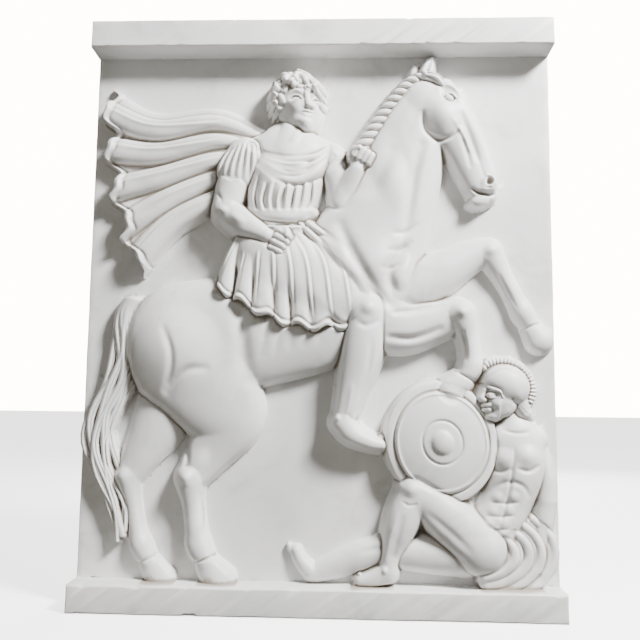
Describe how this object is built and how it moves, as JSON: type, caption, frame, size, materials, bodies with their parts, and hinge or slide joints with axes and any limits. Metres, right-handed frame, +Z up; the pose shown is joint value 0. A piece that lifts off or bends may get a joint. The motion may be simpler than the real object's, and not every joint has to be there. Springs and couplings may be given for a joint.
{
  "type": "marble relief plaque",
  "caption": "Upright carved marble wall slab with plain ledges above and below and a horseman riding over a shield bearer in high relief.",
  "frame": {"origin": "middle of the flat back, where the plaque meets the wall", "axes": "+Z up, +X to the right of a person facing the carving, +Y out of the back towards the wall"},
  "size_m": [0.8, 0.1092, 1],
  "materials": {
    "marble": "smooth rubbed white-grey marble, cream on the edges and warm grey in the drilled lines"
  },
  "bodies": {
    "root": {"relief_plaque": "marble"}
  },
  "joints": []
}
